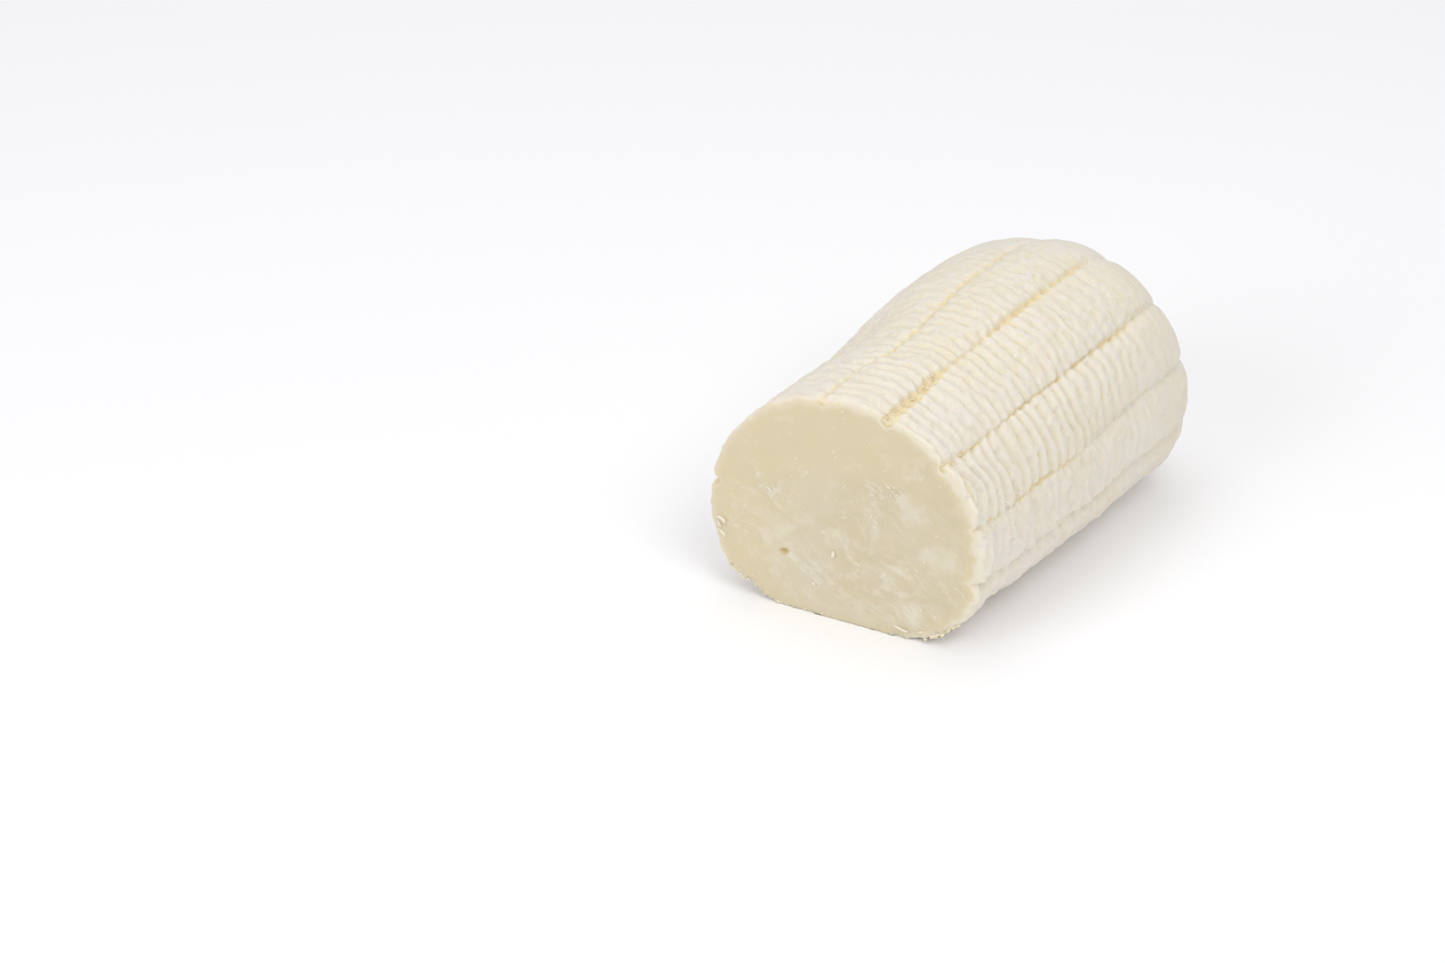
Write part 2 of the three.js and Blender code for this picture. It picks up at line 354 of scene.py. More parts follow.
def panel_at(grooves, degrees):
    """The panel at a place round the log, the share of the way across it, the distance to
    the groove on each side in mm, and the place, less than a turn past the first groove."""
    places = [groove[0] for groove in grooves]
    if degrees >= places[0] + 360:
        degrees -= 360
    k = bisect_right(places, degrees) - 1
    ahead = places[k + 1] if k + 1 < len(places) else places[0] + 360
    share = (degrees - places[k]) / (ahead - places[k])
    return k, share, (degrees - places[k]) * MM_PER_DEGREE, (ahead - degrees) * MM_PER_DEGREE, degrees


def ribs_at(k, share, along, x, z):
    """How deep the large ribs, the fine ribs and the pits are, and the bare valley's depth."""
    pitch, near_strength, far_strength, fine_strength, _ = PANELS[k]
    slow = uneven(along / 13, x / 10, z / 10 + 9 * k)
    quick = uneven(along / 4.5, x / 4, z / 4 + 9 * k)
    count = along / pitch + 0.37 * k + 0.65 * slow + 0.13 * quick - RIB_SLANT * share
    valley = (0.5 + 0.5 * math.cos(math.tau * count)) ** mix(1.0, 1.5, near_strength)
    fine_valley = 0.5 + 0.5 * math.cos(math.tau * (FINE_RIBS_PER_RIB * count + 0.5 * quick))
    faded = smooth((along - RIBS_FADE_FROM) / (RIBS_END - RIBS_FADE_FROM))
    strength = mix(near_strength, far_strength, faded)
    left_open = smooth(mix(0.4, 0.9, strength) + 1.7 * uneven(along / 3, x / 2.7, z / 2.7 + 40))
    fine_open = smooth(0.42 + 1.9 * uneven(along / 3, x / 2.2, z / 2.2 + 80))
    rib = valley * (0.2 + 0.8 * left_open) * strength
    fine = fine_valley * fine_open * mix(0.35 + 0.65 * strength, 1.0, smooth((along - 30) / 40))
    fine *= fine_strength
    past_shoulder = along - (LENGTH - SHOULDER)
    if past_shoulder > 0:
        rib *= 1 - smooth(past_shoulder / 14)
        fine *= 1 - smooth(past_shoulder / 22)
    pit = max(0.0, uneven(along / 0.9, x / 1.8, z / 1.8) - 0.38) * 2.4 * strength
    return rib, fine, pit, valley


print("ribs", RIB_DEPTH, "mm deep, pitches", sorted(set(panel[0] for panel in PANELS)), "mm")

# %% [markdown]
# ## Panels and rim
# Between its grooves a panel swells a little, and more so towards the far end. Slow
# lumps run over the whole log, and curd grain in three sizes lies over all. At the cut
# the rind crumbles at the upper right, is worn off below that, and a crack has opened
# behind its first rib.

# %% Swell, grain and rim
CROWN_NEAR, CROWN_FAR, CROWN_SUNK, SETTLED_BY = 0.5, 1.25, 0.4, 75
LUMP, LUMP_STEP, LUMPS = 0.35, 11, 3
CRUMBLY_TO, WORN_TO = 62, 25   # degrees up from the right side
WORN_DEPTH, WORN_REACH = 0.9, 3
LIP_AT, LIP_FROM, LIP_TO, LIP_ENDS = 2.7, 20, 43, 6   # mm along the log, the others in degrees
LIP_DEPTH, LIP_HALF, LIP_CLEAR = 0.6, 0.6, 6.5


def swell(along, angle, share, x, z, lumpy):
    """Height of a panel between its grooves, with lumps and curd grain."""
    crown = mix(CROWN_NEAR, CROWN_FAR, smooth(along / SETTLED_BY))
    crown *= 1.05 - abs(2 * share - 1) ** 3 - CROWN_SUNK
    lumps = LUMP * math.sin(LUMPS * angle + along / LUMP_STEP) * math.sin(angle + along / LUMP_STEP)
    lumpy *= 1 - 0.35 * smooth((along - 40) / 40)
    grain = (0.26 * lumpy * uneven(along / 4, x / 5, z / 5)
             + 0.15 * lumpy * uneven(along / 1.7, x / 2, z / 2)
             + 0.06 * uneven(along / 0.8, x / 0.8, z / 0.8))
    return crown + lumps + grain


def rim_height(along, degrees, x, z):
    """Height of the rind next to the cut: rough, crumbly and worn."""
    crumbly = smooth((CRUMBLY_TO - degrees) / 15)
    rough = uneven(x / 2.4, along / 3, z / 2.4 + 60) + crumbly * uneven(x / 1.2, along / 1.2, z / 1.2)
    rough *= mix(0.26, 0.5, crumbly) * (1 - smooth(along / mix(5, 8, crumbly)))
    worn = WORN_DEPTH * smooth((WORN_TO - degrees) / 20) * max(0.0, 1 - along / WORN_REACH) ** 2
    return rough - worn


def lip_at(along, degrees):
    """Depth of the crack behind the first rib."""
    if along >= LIP_CLEAR or not LIP_FROM < degrees < LIP_TO:
        return 0.0
    off = (along - LIP_AT - 0.5 * uneven(degrees / 6, 0, 0)) / LIP_HALF
    ends = smooth((degrees - LIP_FROM) / LIP_ENDS) * smooth((LIP_TO - degrees) / LIP_ENDS)
    return LIP_DEPTH * math.exp(-off * off) * ends


print("crack", LIP_DEPTH, "mm deep, from", LIP_FROM, "to", LIP_TO, "degrees")

# %% [markdown]
# ## The whole relief
# Everything so far is added up over the plain outline. The second number says how much
# of a crease a spot is. The material needs it: it paints a warm shade into the valleys and
# pits, darker and yellower than the ribs, and colours the deep grooves yellow.

# %% Add the relief up
def rind_relief(ring, angle, x, z):
    """Height of the rind over its plain outline in mm, and how much of a crease it is."""
    along, grooves = ring["along"], ring["grooves"]
    k, share, before, after, degrees = panel_at(grooves, math.degrees(angle))
    next_k = (k + 1) % len(grooves)
    rib, fine, pit, valley = ribs_at(k, share, along, x, z)
    cut_a, crease_a = groove_cut(grooves[k], k, along, before, valley)
    cut_b, crease_b = groove_cut(grooves[next_k], next_k, along, after, valley)
    lip = lip_at(along, degrees)
    height = swell(along, angle, share, x, z, PANELS[k][4]) + rim_height(along, degrees, x, z)
    height -= RIB_DEPTH * rib + FINE_DEPTH * fine + PIT_DEPTH * pit
    height -= cut_a + cut_b + lip + dent_at(along, degrees)
    # painted warm shade: rib valleys, fine ribs and pits get a crease share, which the material paints
    # darker and yellower; the grooves' tint and the crack add to it
    crease = (0.5 * rib + 0.55 * fine) * mix(0.4, 1.0, smooth(along / 45)) + 0.5 * pit
    return height, min(1.0, crease + crease_a + crease_b + 1.5 * lip)


print("relief of", len(PANELS), "panels is ready")

# %% [markdown]
# ## Relief of the cut face
# A knife through crumbly paste leaves a face that is flat, slightly dished and torn
# where the blade comes out, here along the lower rim. There is one small hole, where
# whey was trapped. The tears pull back both the face and the first bit of rind.

# %% Face, hole and torn rim
HOLE_X, HOLE_Z, HOLE_DEEP, HOLE_REACH = -17.1, 16.1, 1.2, 1.4
TEAR, TEAR_BELOW, TEAR_REACH = 1.1, 13, 2.2


def tear_at(x, z, from_rim):
    """How torn the rim is, 0 to 1, at a distance from it over the skin."""
    low_down = smooth((TEAR_BELOW - z) / 7)
    near = max(0.0, 1 - from_rim / TEAR_REACH) ** 1.5
    ragged = 0.35 + 1.1 * uneven(x / 1.3, 0, z / 1.3) + 0.5 * uneven(x / 0.6, 7, z / 0.6)
    return low_down * near * min(1.0, max(0.0, ragged))


def face_relief(x, z, share, from_rim):
    """How far the face lies back from the knife's plane in mm, and how much it is the hole."""
    dish = FACE_DISH * (1 - share ** 2)
    wave = 0.14 * uneven(x / 8, 0, z / 8)
    # over the blade's strokes and along them
    across, down = (x * 0.8 - z * 0.6) / 1.5, (x * 0.6 + z * 0.8) / 9
    streak = 0.07 * uneven(down, 0, across)
    off = math.hypot((x - HOLE_X) / 1.15, (z - HOLE_Z) / 0.9) / HOLE_REACH
    hole = HOLE_DEEP * smooth(1.25 * (1 - off))
    return dish + (wave + streak) * smooth(from_rim / 2) + hole, smooth(1.4 * (1 - off))


print("hole", round(2 * HOLE_REACH, 1), "mm wide")

# %% [markdown]
# ## Rings of the log
# The log is built from rings of points. They start in the middle of the cut face, run
# out to its rim, over the rounded edge, along the rind, round the shoulder and in to
# the far middle. They stand closest near the cut, where the camera sees most.

# %% List the rings
COLUMNS = 420
FACE_STEPS, RIND_STEPS, SHOULDER_STEPS, FAR_STEPS = 36, 160, 32, 6
# the rings that round the rim: along the log and inset in mm, and how much paste they show
RIM_ROUNDING = [(0.08, 0.62, 0.8), (0.3, 0.3, 0.5), (0.65, 0.1, 0.2)]


def ring_at(along, inset=0, share=1, paste=0.0):
    """A ring at a place along the log, drawn in by an inset and to a share of its outline."""
    half, rise, drift = (along_list(sizes, along) for sizes in (HALF_WIDTHS, RISES, DRIFTS))
    grooves = [station(stations, along) for stations in GROOVES]
    return {"along": along, "inset": inset, "share": share, "paste": paste,
            "half": half, "rise": rise, "drift": drift, "grooves": grooves}


def all_rings():
    """The rings in order, from the middle of the cut face to the middle of the far end."""
    rings = [ring_at(0, RIM_TUCK, i / FACE_STEPS, 1.0) for i in range(FACE_STEPS + 1)]
    rings += [ring_at(along, inset, 1, paste) for along, inset, paste in RIM_ROUNDING]
    for i in range(RIND_STEPS):
        share = i / RIND_STEPS
        rings.append(ring_at(RIM_TUCK + (LENGTH - SHOULDER - RIM_TUCK) * share * (0.8 + 0.2 * share)))
    for i in range(SHOULDER_STEPS + 1):
        turn = i / SHOULDER_STEPS * math.pi / 2
        forward, left = (f(turn) ** (2 / SHOULDER_POWER) for f in (math.sin, math.cos))
        rings.append(ring_at(LENGTH - SHOULDER * (1 - forward), SHOULDER * (1 - left)))
    rings += [ring_at(LENGTH, SHOULDER, i / FAR_STEPS) for i in range(FAR_STEPS - 1, -1, -1)]
    return rings


RINGS = all_rings()
print(len(RINGS), "rings of", COLUMNS, "points")

# %% [markdown]
# ## The skin
# The skin function turns a ring and an angle into a point of the finished log. It also
# says what each spot is: how much paste, how near the rim, and how much of a crease or
# of the hole. We will keep that as attributes of the mesh, so the material can follow
# the shape exactly.

# %% A point of the skin
TORN_IN, TORN_UP, EDGE_REACH = 0.35, 0.5, 2.2


def skin(ring, angle):
    """Place of a point of the skin in mm, with its paste, edge and crease."""
    along, share = ring["along"], ring["share"]
    x, z = outline(ring, angle)
    height, crease = rind_relief(ring, angle, x, z)
    way = outward(ring, angle)
    height *= 1 - ring["inset"] / (2 * SHOULDER)
    x, z = (x + way.x * height) * share, (z + way.y * height) * share
    on_face = ring["paste"] == 1.0
    from_rim = (1 - share) * math.hypot(x, z) / max(share, 0.01) if on_face else along
    x, z = x + ring["drift"], z + WIDEST_AT
    torn = tear_at(x, z, from_rim)
    x -= torn * TORN_IN * way.x
    z = max(0.0, z - torn * TORN_UP * way.y * smooth((z - 0.6) / 3))   # the lowest edge stays on the table
    knife = x * SLANT + (z - LEAN_FROM) * LEAN
    y = along + knife * max(0.0, 1 - along / SLANT_FADES_BY)
    y += TEAR * torn + 0.2 * uneven(x / 2.1, 30, z / 2.1) * math.exp(-from_rim / 1.3)
    edge = math.exp(-from_rim / EDGE_REACH)
    if on_face:
        back_by, hole = face_relief(x, z, share, from_rim)
        return Vector((x, y + back_by, z)), 1.0, edge, hole
    if ring["inset"] == SHOULDER:
        y += FAR_DOME * (1 - share ** 2)
        crease *= share
    return Vector((x, y, z)), ring["paste"], edge, crease


print("middle of the cut face, mm:", [round(value, 1) for value in skin(RINGS[0], 0.0)[0]])

# %% [markdown]
# ## Making the log
# One closed ball becomes the whole log: its poles go to the middles of the two ends,
# and each of its rings goes to a ring of the list. That gives even quads on the rind,
# closed ends and no seam. The columns stand closer together at the upper right, which
# faces the camera.

# %% Move every point of the ball to its place on the log
DENSE_AT, DENSE = math.radians(50), 0.38   # columns crowd towards this angle by this share

bm = bmesh.new()
bmesh.ops.create_uvsphere(bm, u_segments=COLUMNS, v_segments=len(RINGS) - 1, radius=1.0)
paste_of = bm.verts.layers.float.new("paste")
edge_of = bm.verts.layers.float.new("edge")
crease_of = bm.verts.layers.float.new("crease")
for vert in bm.verts:
    row = round(math.acos(min(1.0, max(-1.0, vert.co.z))) / math.pi * (len(RINGS) - 1))
    angle = math.atan2(vert.co.y, vert.co.x) - DENSE_AT
    angle = (angle - DENSE * math.sin(angle) + DENSE_AT) % math.tau
    place, vert[paste_of], vert[edge_of], vert[crease_of] = skin(RINGS[row], angle)
    vert.co = (place + SHIFT) * MM
for face in bm.faces:
    face.smooth = True
log_tree = BVHTree.FromBMesh(bm)
log = new_piece("cheese_log", bm)
print("log:", len(log.data.polygons), "faces, box in mm",
      [[round(v / MM, 1) for v in corner] for corner in (log.bound_box[0], log.bound_box[6])])

# %% [markdown]
# ## Crumbs and shavings
# Where the blade and the basket tore the curd, small grains and shavings stay behind.
# Each one is a tiny ball that is stretched, bent and roughened. We find the place of a
# grain on the rind with the same skin function, and of a shaving with a ray that is
# shot at the finished face, so that all of them really touch the cheese.

# %% Helpers that place the bits
chance = random.Random(5)
FACES_PER_BIT = 80


def add_bit(bm, place, size, turn, bend=0.0):
    """Adds a rough bit of curd: place and size in mm, turn in degrees, bend as a share."""
    ball = bmesh.ops.create_icosphere(bm, subdivisions=2, radius=1.0)["verts"]
    spin = Euler([math.radians(value) for value in turn]).to_matrix()
    for vert in ball:
        co = vert.co * (1 + 0.45 * noise.noise(vert.co * 1.3 + place))
        co = Vector((co.x * size[0], co.y * size[1], co.z * size[2] + bend * size[0] * co.x ** 2))
        vert.co = (place + spin @ co + SHIFT) * MM


def add_grain(bm, along, degrees, size):
    """A round grain that sits half sunk in the rind, and never below the table."""
    angle = math.radians(degrees)
    ring = ring_at(along)
    way = outward(ring, angle)
    place = skin(ring, angle)[0] + Vector((way.x, 0, way.y)) * size * 0.2
    place.z = max(place.z, 1.3 * size)
    turn = [chance.uniform(0, 360) for _ in range(3)]
    add_bit(bm, place, [size * chance.uniform(0.75, 1.25) for _ in range(3)], turn)


def add_shaving(bm, x, z, length, width, lean, bend=0.0):
    """A shaving that lies on the cut face at x and z."""
    start = (Vector((x, -30, z)) + SHIFT) * MM
    hit = log_tree.ray_cast(start, Vector((0, 1, 0)))[0]
    place = hit / MM - SHIFT + Vector((0, -0.25 * width, 0))
    add_bit(bm, place, (length / 2, width / 2, width / 2), (0, lean, 0), bend)


def finish_bits(name, bm):
    """Shades the bits smooth, makes them one piece and counts them."""
    for face in bm.faces:
        face.smooth = True
    piece = new_piece(name, bm)
    print(name + ":", len(piece.data.polygons) // FACES_PER_BIT, "bits")
    return piece


# %% [markdown]
# ## Grains
# Most grains lie where the curd tore: thickly in the deep channel next to the cut,
# thinly in the two creases below it, and as a fringe along the torn lower rim, with
# some larger lumps at its right corner.

# %% Grains in the grooves and along the torn rim
IN_CHANNEL, IN_CREASE, IN_LOW_GROOVE, ON_TORN_RIM, AT_CORNER = 34, 18, 16, 64, 14

bm = bmesh.new()
for _ in range(IN_CHANNEL):
    along = 25 * chance.random() ** 1.4 + 0.6
    at, _, half = station(CHANNEL_GROOVE, along)
    aside = chance.uniform(-0.8, 0.8) * half / MM_PER_DEGREE
    add_grain(bm, along, at + aside, chance.uniform(0.2, 0.4))
for _ in range(IN_CREASE):
    along = chance.uniform(0.8, 13)
    degrees = station(CREASE_GROOVE, along)[0] + chance.uniform(-2.4, 2.4)
    add_grain(bm, along, degrees, chance.uniform(0.18, 0.38))
for _ in range(IN_LOW_GROOVE):
    along = chance.uniform(1.5, 24)
    degrees = station(LOW_GROOVE, along)[0] + chance.uniform(-3, 4)
    add_grain(bm, along, degrees, chance.uniform(0.2, 0.4))
for _ in range(ON_TORN_RIM):
    degrees = chance.choice((chance.uniform(212, 266), chance.uniform(306, 326)))
    add_grain(bm, chance.uniform(-0.1, 0.6), degrees, chance.uniform(0.22, 0.46))
for _ in range(AT_CORNER):
    add_grain(bm, chance.uniform(0.4, 4), chance.uniform(300, 324), chance.uniform(0.4, 0.75))
grains = finish_bits("curd_grains", bm)

# %% [markdown]
# ## Shavings
# The blade leaves a few curls at the left rim, a cluster right of the middle and single
# flecks elsewhere. Those that catch the eye are placed one by one, and the small ones
# are scattered over the lower part of the face.

# %% Shavings on the cut face
# x and z in mm, length, width, lean in degrees and bend
SHAVINGS = [
    (-34.6, 21.4, 4.4, 0.9, 18, -0.5), (-34.2, 17.2, 3.4, 0.8, 40, -0.4), (-35.2, 19.4, 2.0, 0.6, 60, 0.3),
    (-3.2, 19.2, 2.6, 1.0, -72, 0.2), (-0.5, 40.6, 1.7, 0.45, -65, 0), (19.4, 49.7, 2.0, 0.4, -70, 0),
    (11.2, 43.6, 1.6, 0.45, 25, 0.3), (12.6, 42.6, 1.2, 0.5, -35, 0), (12.0, 41.4, 1.1, 0.45, 70, 0.2),
    (13.6, 41.9, 0.8, 0.4, 10, 0), (10.3, 44.3, 1.2, 0.3, 0, 0), (12.8, 43.9, 0.7, 0.35, 50, 0),
    (9.4, 43.1, 0.9, 0.25, 10, 0), (14.8, 43.0, 1.0, 0.25, 30, 0), (-10.8, 41.7, 1.3, 0.4, 20, 0.2),
    (-21.3, 33.8, 2.4, 0.5, 35, -0.3), (-20.2, 35.2, 1.2, 0.4, 60, 0), (-8.3, 9.1, 1.4, 0.7, 15, 0),
    (16.0, 2.8, 5.5, 0.8, 4, 0.1), (21.5, 3.4, 2.2, 0.6, -20, 0), (6.9, 33.8, 2.2, 0.4, -60, 0.2),
    (8.0, 32.4, 1.8, 0.35, 30, 0.3), (-28.9, 32.2, 0.6, 0.45, 0, 0), (-3.2, 48.3, 0.5, 0.4, 0, 0),
    (-1.0, 60.5, 0.6, 0.5, 0, 0), (-1.6, 62.0, 1.0, 0.35, 40, 0), (6.0, 54.9, 0.6, 0.35, -60, 0),
]
SMALL_SHAVINGS = 22

bm = bmesh.new()
for shaving in SHAVINGS:
    add_shaving(bm, *shaving)
for _ in range(SMALL_SHAVINGS):
    add_shaving(bm, chance.uniform(-26, 27), 4 + 40 * chance.random() ** 1.5, chance.uniform(0.3, 0.9),
                chance.uniform(0.16, 0.28), chance.gauss(35, 25), chance.uniform(-0.3, 0.3))
shavings = finish_bits("shavings", bm)

# %% [markdown]
# ## Materials
# Two finishes meet at the rim. The rind is dry, matt and ivory, with a painted warm shade
# in its valleys and pits, and deep grooves coloured yellow. The paste is moister and darker
# cream, clouded, with fine pale veins and the diagonal streaks of the blade. Light goes a
# few millimetres into both, so both get some subsurface scattering. The mesh attributes
# choose between them, so one material covers the whole log. A few helpers keep its wiring
# readable.

# %% Start the material, and helpers that wire its nodes
cheese = bpy.data.materials.new("aged ricotta")
cheese.use_nodes = True
tree = cheese.node_tree
shader = tree.nodes["Principled BSDF"]


def add(kind, settings=None, **inputs):
    """Adds a node, sets its properties, and links or fills its inputs. An input goes by
    its name, or by its number as i0, i1 and so on."""
    node = tree.nodes.new(kind)
    for name, value in (settings or {}).items():
        setattr(node, name, value)
    for name, value in inputs.items():
        by_number = name[0] == "i" and name[1:].isdigit()
        socket = node.inputs[int(name[1:]) if by_number else name]
        if isinstance(value, bpy.types.NodeSocket):
            tree.links.new(value, socket)
        else:
            socket.default_value = value
    return node


def blend(share, a, b):
    """Mixes two colours by a share."""
    return add("ShaderNodeMix", {"data_type": "RGBA"}, i0=share, i6=a, i7=b).outputs[2]


def sift(value, low, high, out_low=0.0, out_high=1.0):
    """Stretches part of a value's range to another, eased at both ends."""
    node = add("ShaderNodeMapRange", {"clamp": True, "interpolation_type": "SMOOTHSTEP"},
               i0=value, i1=low, i2=high, i3=out_low, i4=out_high)
    return node.outputs[0]


def reckon(kind, a, b=0.0):
    """Does one sum with two values."""
    return add("ShaderNodeMath", {"operation": kind}, i0=a, i1=b).outputs[0]


def times(a, b):
    """Multiplies two values."""
    return reckon("MULTIPLY", a, b)


def cloud(at, scale, detail=3.0, rough=0.5):
    """Soft noise, as a value around one half."""
    return add("ShaderNodeTexNoise", Vector=at, Scale=scale, Detail=detail, Roughness=rough).outputs["Fac"]


where = add("ShaderNodeTexCoord").outputs["Object"]
sides = add("ShaderNodeSeparateXYZ", Vector=where).outputs
paste, edge, crease = (add("ShaderNodeAttribute", {"attribute_name": name}).outputs["Fac"]
                       for name in ("paste", "edge", "crease"))
print("the material reads paste, edge and crease from the mesh")

# %% [markdown]
# ## Colour of the rind
# Ivory is never one colour. Soft clouds of a warmer and a rosier ivory lie over it, and
# short crosswise marks show best where the ribs have faded. Valleys and pits get a painted
# warm shade, a little darker and yellower than the ribs, and deep creases are coloured
# clearly yellow. At the rim, the blade has left a broken white line, whitest at the right.

# %% The rind
IVORY, IVORY_WARM, IVORY_ROSE = ink(231, 224, 212), ink(230, 221, 205), ink(232, 223, 214)
RIM_WHITE = ink(236, 230, 217)
# the first colour is the painted warm shade of valleys and pits, and also the colour of the crosswise
# marks; the second is the yellow of deep creases
VALLEY_SHADE_AND_MARKS, CREASE_YELLOW = ink(230, 221, 198), ink(232, 216, 177)
MARK_SIZE = (0.0036, 0.0012, 0.0036)

rind_colour = blend(sift(cloud(where, 55), 0.4, 0.62), IVORY, IVORY_WARM)
rosy = sift(cloud(where, 38, 2), 0.5, 0.68, 0.0, 0.5)
rind_colour = blend(rosy, rind_colour, IVORY_ROSE)

marks_at = add("ShaderNodeMapping", {"vector_type": "TEXTURE"}, Vector=where, Scale=MARK_SIZE).outputs[0]
far_off = sift(sides["Y"], -0.05, 0.02, 0.4, 1.0)
marks = times(sift(cloud(marks_at, 1.0, 2), 0.52, 0.72), far_off)
rind_colour = blend(times(marks, 0.35), rind_colour, VALLEY_SHADE_AND_MARKS)
# painted warm shade: the crease share darkens and yellows the valleys and pits
rind_colour = blend(sift(crease, 0.06, 0.5), rind_colour, VALLEY_SHADE_AND_MARKS)
rind_colour = blend(sift(crease, 0.5, 1.0), rind_colour, CREASE_YELLOW)

broken = times(reckon("SUBTRACT", cloud(where, 260, 3), 0.5), 0.9)
rim_line = reckon("ADD", edge, broken)
rim_side = sift(sides["X"], -0.025, 0.018, 0.35, 1.0)
rind_white = times(sift(rim_line, -0.05, 0.8, 0.0, 0.7), rim_side)
rind_colour = blend(rind_white, rind_colour, RIM_WHITE)
print("nodes after the rind:", len(tree.nodes))

# %% [markdown]
# ## Colour of the paste
# The paste is creamier than the rind. It is palest in the middle, warmer towards the
# rind, darker at the right with painted shade, and cloudy all over. Each cloud is read at a
# place that slow noise has pushed about, which bends it like curd that was pressed.

# %% Clouds of the paste
# the deeper cream serves the darker clouds and also the painted shade at the right of the face
PASTE, PASTE_CLOUD_AND_SHADE, PASTE_PALE = ink(216, 206, 184), ink(212, 200, 170), ink(232, 226, 212)
PASTE_WARM, PASTE_EDGE, HOLE_BROWN = ink(218, 205, 171), ink(219, 206, 173), ink(208, 186, 126)
FACE_MIDDLE = (5, 20)   # x and z of the palest place in mm

wavy = add("ShaderNodeTexNoise", Vector=where, Scale=60.0, Detail=1.0).outputs["Color"]


def pushed(amount):
    """The place on the piece, pushed about by slow noise."""
    return add("ShaderNodeMix", {"data_type": "RGBA", "blend_type": "LINEAR_LIGHT"},
               i0=amount, i6=where, i7=wavy).outputs[2]


def distance_on_face(x, z):
    """Distance in metres from a spot of the cut face, given in mm."""
    spot = ((x + SHIFT.x) * MM, (x * SLANT + SHIFT.y) * MM, z * MM)
    return add("ShaderNodeVectorMath", {"operation": "DISTANCE"}, i0=where, i1=spot).outputs["Value"]


bent = pushed(0.004)
paste_colour = blend(sift(cloud(bent, 42), 0.38, 0.64), PASTE, PASTE_CLOUD_AND_SHADE)
outer = sift(distance_on_face(*FACE_MIDDLE), 0.014, 0.034, 0.0, 0.85)
paste_colour = blend(outer, paste_colour, PASTE_WARM)
# painted shade: the right of the face is painted darker, against the light of the right lamp
paste_colour = blend(sift(sides["X"], 0.01, 0.028, 0.0, 0.9), paste_colour, PASTE_CLOUD_AND_SHADE)
paste_colour = blend(sift(cloud(bent, 130, 4), 0.5, 0.72, 0.0, 0.45), paste_colour, PASTE_PALE)
print("nodes after the clouds:", len(tree.nodes))

# %% [markdown]
# ## Marbling, strokes and flecks
# Pale marbling shows where curds were pressed together, so it stands in a few patches.
# The blade leaves diagonal strokes and some thin threads, most of them low on the face,
# and tiny flecks lie all over. Each one is mixed in over the clouds.

# %% Marbling, strokes, threads and flecks
# patches of marbling: x and z, reach in mm and strength
PATCHES = [
    (-21, 34, 9, 0.8), (-27, 27, 6, 0.3), (11, 41, 9, 0.9), (2, 30, 10, 0.8), (9, 13, 15, 0.7),
    (-9, 10, 12, 0.6), (22, 14, 10, 0.4), (-18, 8, 9, 0.5), (4, 21, 8, 0.6), (14, 4, 11, 0.5),
]
BETWEEN_PATCHES = 0.06
STROKE_TURN, STROKE_SIZE = (0.0, math.radians(33), 0.0), (0.009, 0.004, 0.0022)

patches = BETWEEN_PATCHES
for x, z, reach, strength in PATCHES:
    inside = sift(distance_on_face(x, z), 0.3 * reach * MM, reach * MM, strength, 0.0)
    patches = reckon("MAXIMUM", patches, inside)
marbling = times(sift(cloud(pushed(0.009), 190, 9, 0.7), 0.51, 0.57), patches)

strokes_at = add("ShaderNodeMapping", {"vector_type": "TEXTURE"},
                 Vector=bent, Rotation=STROKE_TURN, Scale=STROKE_SIZE).outputs[0]
strokes = cloud(strokes_at, 1.0, 5, 0.65)
low_down = sift(sides["Z"], 0.014, 0.05, 1.0, 0.15)
in_places = sift(cloud(where, 48, 1), 0.42, 0.6, 0.2, 1.0)
stroke_share = times(sift(strokes, 0.48, 0.7), times(low_down, in_places))

off_thread = reckon("ABSOLUTE", reckon("SUBTRACT", cloud(strokes_at, 1.7, 2), 0.5))
thread_places = times(sift(cloud(where, 90, 1), 0.48, 0.62), low_down)
threads = times(sift(off_thread, 0.0, 0.018, 1.0, 0.0), thread_places)
flecks = sift(cloud(where, 620, 1), 0.72, 0.78)

for share, strength, colour in ((marbling, 0.6, PASTE_PALE), (stroke_share, 0.6, PASTE_PALE),
                                (threads, 0.8, PASTE_PALE), (flecks, 0.5, RIM_WHITE)):
    paste_colour = blend(times(share, strength), paste_colour, colour)
print("nodes after the marbling:", len(tree.nodes))

# %% [markdown]
# ## Where the finishes meet
# Next to the rim the paste turns warmer, then white in the same broken line as the
# rind. The hole is coloured a dull brown. Then the paste attribute
# chooses between the two colours.

# %% Edge, hole and the choice between rind and paste
paste_colour = blend(sift(edge, 0.1, 0.55), paste_colour, PASTE_EDGE)
paste_white = times(sift(rim_line, 0.4, 1.1, 0.0, 0.65), rim_side)
paste_colour = blend(paste_white, paste_colour, RIM_WHITE)
paste_colour = blend(crease, paste_colour, HOLE_BROWN)
tree.links.new(blend(paste, rind_colour, paste_colour), shader.inputs["Base Color"])
print("nodes after the colours:", len(tree.nodes))

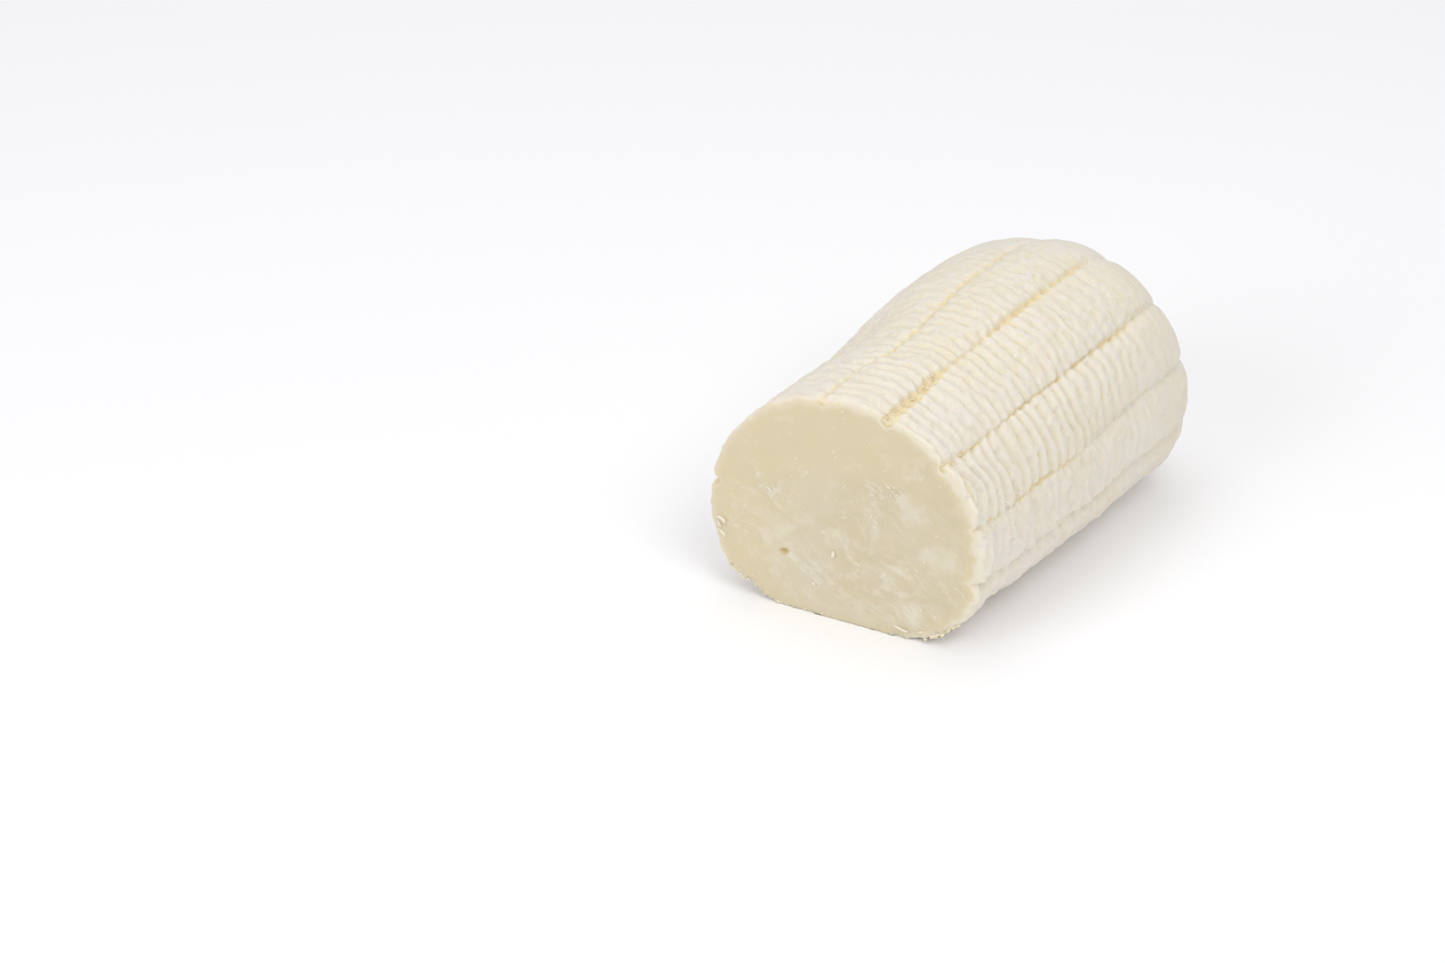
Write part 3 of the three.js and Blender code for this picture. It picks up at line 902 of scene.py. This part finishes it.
# %% [markdown]
# ## Surface and depth
# The shape carries every form that can be seen, so bump only adds relief of about a
# tenth of a millimetre: grain on the rind, and the blade's strokes on the paste.
# The paste is moister, so it is the smoother of the two. Red light goes deepest into
# cheese and blue the least, which warms the shadows.

# %% How dull it is, the fine grain and the light inside
RIND_DULL, PASTE_DULL = 0.62, 0.46
BUMP_HEIGHT, LIGHT_DEPTH, LIGHT_REACH = 0.0004, 0.0022, (1.0, 0.75, 0.42)

dull = reckon("ADD", sift(paste, 0.0, 1.0, RIND_DULL, PASTE_DULL), times(cloud(where, 300), 0.12))
tree.links.new(dull, shader.inputs["Roughness"])
rind_grain = reckon("SUBTRACT", times(cloud(where, 480, 4), 1.5), times(marks, 0.4))
paste_grain = reckon("ADD", times(strokes, 0.9), times(cloud(where, 900, 3), 0.3))
paste_grain = reckon("ADD", paste_grain, times(marbling, 0.35))
grain = add("ShaderNodeMix", {"data_type": "FLOAT"}, i0=paste, i2=rind_grain, i3=paste_grain).outputs[0]
bump = add("ShaderNodeBump", Strength=0.6, Distance=BUMP_HEIGHT, Height=grain)
tree.links.new(bump.outputs["Normal"], shader.inputs["Normal"])
shader.inputs["Subsurface Weight"].default_value = 0.4
shader.inputs["Subsurface Radius"].default_value = LIGHT_REACH
shader.inputs["Subsurface Scale"].default_value = LIGHT_DEPTH
shader.inputs["Specular IOR Level"].default_value = 0.35
log.data.materials.append(cheese)
print("material nodes:", len(tree.nodes))

# %% [markdown]
# ## Loose curd
# The bits are too small for clouds and veins, so each kind gets one plain colour. The
# grains are yellower, like the creases that they lie in, and the shavings are paler.

# %% Materials of the grains and shavings
BIT_DULL, BIT_SHINE = 0.55, 0.3
grains.data.materials.append(plain_material("loose curd", ink(238, 226, 196), BIT_DULL, BIT_SHINE))
shavings.data.materials.append(plain_material("shaved curd", ink(237, 230, 212), BIT_DULL, BIT_SHINE))
print("loose curd on", len(grains.data.polygons) + len(shavings.data.polygons), "faces")

# %% [markdown]
# ## Finish
# The dressed log, its grains and shavings are attached to the root body and stand for
# the solid one, which is hidden.

# %% Hand the pieces over
for piece in (log, grains, shavings):
    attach(piece, "root")
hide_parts("ricotta_log")
